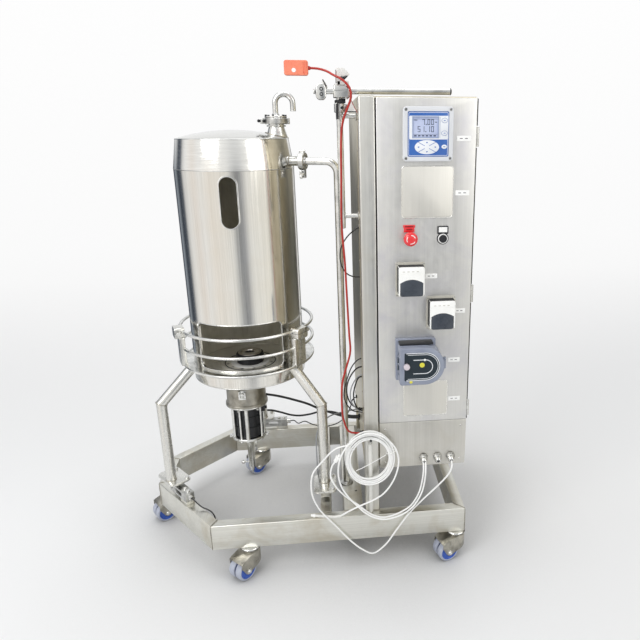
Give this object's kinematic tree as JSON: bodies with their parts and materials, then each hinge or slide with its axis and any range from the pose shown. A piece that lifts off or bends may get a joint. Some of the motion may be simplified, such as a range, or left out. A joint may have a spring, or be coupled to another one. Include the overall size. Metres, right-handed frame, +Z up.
{
  "type": "mobile bioreactor",
  "caption": "Steel mixing vessel on a weighed leg stand, with a guard ring and a drive below it, beside a control cabinet with roller pumps, on a castered tube frame.",
  "frame": {"origin": "on the floor under the middle of the machine, measured without its cable, plug, tube and coil", "axes": "+Z up, -Y towards the front with the cabinet door, +X towards the cabinet's side"},
  "size_m": [1.2466, 0.8482, 1.7587],
  "materials": {
    "brushed_stainless": "brushed",
    "door_sheet": "fine brushed",
    "polished_stainless": "polished",
    "fork_steel": "bright pressed sheet",
    "roller_steel": "ground",
    "wheel_blue": "smooth moulded",
    "black_plastic": "moulded",
    "instrument_grey": "moulded",
    "stop_red": "gloss",
    "pump_cream": "moulded",
    "flap_slate": "smooth moulded",
    "pump_grey": "satin paint",
    "plug_orange": "moulded",
    "cable_red": "smooth",
    "tube_white": "smooth"
  },
  "bodies": {
    "machine": {"base_frame": "brushed_stainless", "load_cell_rear": "polished_stainless", "load_cell_left": "polished_stainless", "load_cell_right": "polished_stainless", "leg_rear": "brushed_stainless", "leg_left": "brushed_stainless", "leg_right": "brushed_stainless", "stand_ring": "brushed_stainless", "guard_rod_lower": "polished_stainless", "guard_rod_upper": "polished_stainless", "vessel_shell": "brushed_stainless", "vessel_head": "brushed_stainless", "vessel_floor": "polished_stainless", "vent_gooseneck": "polished_stainless", "vent_clamp": "polished_stainless", "side_clamp": "polished_stainless", "side_pipe": "polished_stainless", "drive_flange": "brushed_stainless", "motor_cage": "polished_stainless", "motor_housing": "black_plastic", "spindle_tube": "polished_stainless", "cabinet_body": "brushed_stainless", "cabinet_post": "brushed_stainless", "gland_sill": "door_sheet", "mounting_plate": "brushed_stainless", "pole": "polished_stainless", "boss_head": "polished_stainless", "hook_rod": "polished_stainless", "orange_plug": "plug_orange", "red_cable": "cable_red", "white_tube": "tube_white", "tube_coil": "tube_white"},
    "fork_front_left": {"caster_fork_front_left": "fork_steel"},
    "wheels_front_left": {"caster_wheels_front_left": "wheel_blue"},
    "fork_left": {"caster_fork_left": "fork_steel"},
    "wheels_left": {"caster_wheels_left": "wheel_blue"},
    "fork_rear_left": {"caster_fork_rear_left": "fork_steel"},
    "wheels_rear_left": {"caster_wheels_rear_left": "wheel_blue"},
    "fork_front_right": {"caster_fork_front_right": "fork_steel"},
    "wheels_front_right": {"caster_wheels_front_right": "wheel_blue"},
    "fork_rear_right": {"caster_fork_rear_right": "fork_steel"},
    "wheels_rear_right": {"caster_wheels_rear_right": "wheel_blue"},
    "door": {"cabinet_door": "door_sheet", "transmitter": "instrument_grey", "pump_body_1": "pump_cream", "pump_body_2": "pump_cream", "large_pump_body": "pump_grey"},
    "stop_plunger": {"estop_plunger": "black_plastic"},
    "stop_head": {"estop_head": "stop_red"},
    "start_button": {"push_button": "black_plastic"},
    "flap_1": {"pump_flap_1": "flap_slate"},
    "rotor_1": {"pump_rotor_1": "roller_steel"},
    "flap_2": {"pump_flap_2": "flap_slate"},
    "rotor_2": {"pump_rotor_2": "roller_steel"},
    "large_cover": {"large_pump_cover": "pump_grey"},
    "large_rotor": {"large_pump_rotor": "roller_steel"},
    "coupling": {"drive_coupling": "black_plastic"},
    "lift_rod": {"lift_rod": "polished_stainless"},
    "cross_rod": {"cross_rod": "polished_stainless"}
  },
  "joints": [
    {"name": "swivel_front_left", "type": "hinge", "parent": "machine", "child": "fork_front_left", "pos_m": [-0.17887, -0.32985, 0.09863], "axis": [0, 0, 1], "continuous": true},
    {"name": "roll_front_left", "type": "hinge", "parent": "fork_front_left", "child": "wheels_front_left", "pos_m": [-0.20697, -0.36106, 0.03923], "axis": [0.7431, -0.6691, 0], "continuous": true},
    {"name": "swivel_left", "type": "hinge", "parent": "machine", "child": "fork_left", "pos_m": [-0.54187, 0.06115, 0.09863], "axis": [0, 0, 1], "continuous": true},
    {"name": "roll_left", "type": "hinge", "parent": "fork_left", "child": "wheels_left", "pos_m": [-0.57627, 0.03706, 0.03923], "axis": [0.5736, -0.8192, 0], "continuous": true},
    {"name": "swivel_rear_left", "type": "hinge", "parent": "machine", "child": "fork_rear_left", "pos_m": [-0.19987, 0.38215, 0.09863], "axis": [0, 0, 1], "continuous": true},
    {"name": "roll_rear_left", "type": "hinge", "parent": "fork_rear_left", "child": "wheels_rear_left", "pos_m": [-0.23427, 0.35806, 0.03923], "axis": [0.5736, -0.8192, 0], "continuous": true},
    {"name": "swivel_front_right", "type": "hinge", "parent": "machine", "child": "fork_front_right", "pos_m": [0.58613, -0.32985, 0.09863], "axis": [0, 0, 1], "continuous": true},
    {"name": "roll_front_right", "type": "hinge", "parent": "fork_front_right", "child": "wheels_front_right", "pos_m": [0.54667, -0.34421, 0.03923], "axis": [0.342, -0.9397, 0], "continuous": true},
    {"name": "swivel_rear_right", "type": "hinge", "parent": "machine", "child": "fork_rear_right", "pos_m": [0.58613, 0.38215, 0.09863], "axis": [0, 0, 1], "continuous": true},
    {"name": "roll_rear_right", "type": "hinge", "parent": "fork_rear_right", "child": "wheels_rear_right", "pos_m": [0.54807, 0.3644, 0.03923], "axis": [0.4226, -0.9063, 0], "continuous": true},
    {"name": "door_hinge", "type": "hinge", "parent": "machine", "child": "door", "pos_m": [0.61913, -0.31635, 1.1], "axis": [0, 0, 1], "range_deg": [0, 110]},
    {"name": "stop_push", "type": "slide", "parent": "door", "child": "stop_plunger", "axis": [0, 1, 0], "range_m": [0, 0.005]},
    {"name": "stop_twist", "type": "hinge", "parent": "stop_plunger", "child": "stop_head", "pos_m": [0.40513, -0.34385, 1.22673], "axis": [0, 1, 0], "range_deg": [0, 45], "stiffness_Nm_per_rad": 0.1},
    {"name": "button_push", "type": "slide", "parent": "door", "child": "start_button", "axis": [0, 1, 0], "range_m": [0, 0.003], "stiffness_N_per_m": 600},
    {"name": "flap_hinge_1", "type": "hinge", "parent": "door", "child": "flap_1", "pos_m": [0.40813, -0.35715, 1.04273], "axis": [1, 0, 0], "range_deg": [0, 90]},
    {"name": "rotor_spin_1", "type": "hinge", "parent": "door", "child": "rotor_1", "pos_m": [0.40813, -0.34215, 1.07273], "axis": [0, 1, 0], "continuous": true},
    {"name": "flap_hinge_2", "type": "hinge", "parent": "door", "child": "flap_2", "pos_m": [0.51213, -0.35715, 0.92573], "axis": [1, 0, 0], "range_deg": [0, 90]},
    {"name": "rotor_spin_2", "type": "hinge", "parent": "door", "child": "rotor_2", "pos_m": [0.51213, -0.34215, 0.95573], "axis": [0, 1, 0], "continuous": true},
    {"name": "large_cover_hinge", "type": "hinge", "parent": "door", "child": "large_cover", "pos_m": [0.51813, -0.38215, 0.81273], "axis": [0, 0, 1], "range_deg": [0, 100]},
    {"name": "large_rotor_spin", "type": "hinge", "parent": "door", "child": "large_rotor", "pos_m": [0.44213, -0.36615, 0.81273], "axis": [0, 1, 0], "continuous": true},
    {"name": "coupling_spin", "type": "hinge", "parent": "machine", "child": "coupling", "pos_m": [-0.16987, -0.00985, 0.70473], "axis": [0, 0, 1], "continuous": true},
    {"name": "lift_slide", "type": "slide", "parent": "machine", "child": "lift_rod", "axis": [0, 0, 1], "range_m": [0, 0.035]},
    {"name": "cross_rod_slide", "type": "slide", "parent": "machine", "child": "cross_rod", "axis": [1, 0, 0], "range_m": [-0.15, 0.015]}
  ]
}
